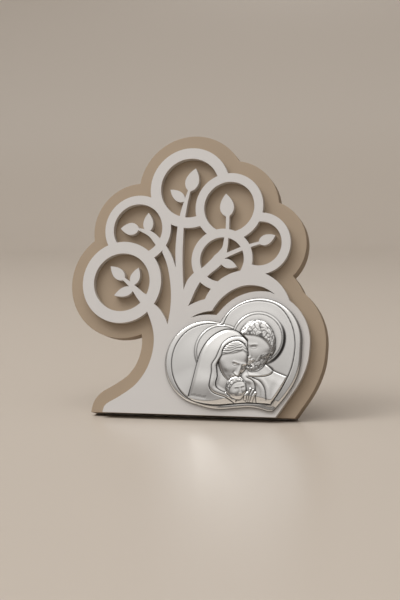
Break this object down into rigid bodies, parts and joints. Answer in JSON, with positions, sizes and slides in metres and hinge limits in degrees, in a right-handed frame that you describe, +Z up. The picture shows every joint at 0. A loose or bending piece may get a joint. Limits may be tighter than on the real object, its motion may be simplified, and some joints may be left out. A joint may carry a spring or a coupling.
{
  "type": "icon panel",
  "caption": "Painted tree of life cut from board, with a heart-shaped silver relief of a holy family, on a rear support peg.",
  "frame": {"origin": "middle of the ground under the whole part, peg included", "axes": "+X to the right of a viewer who faces the relief, +Y backwards, towards the peg, +Z up"},
  "size_m": [0.156, 0.0676, 0.1634],
  "materials": {
    "white_paint": "fibreboard painted warm white, satin matt",
    "taupe_paint": "fibreboard painted taupe brown, matt",
    "silver": "pressed silver sheet, polished, darkened in its lines",
    "bare_wood": "plain turned wood, unpainted"
  },
  "bodies": {
    "root": {"tree_fretwork": "white_paint", "back_board": "taupe_paint", "silver_heart": "silver", "support_peg": "bare_wood"}
  },
  "joints": []
}
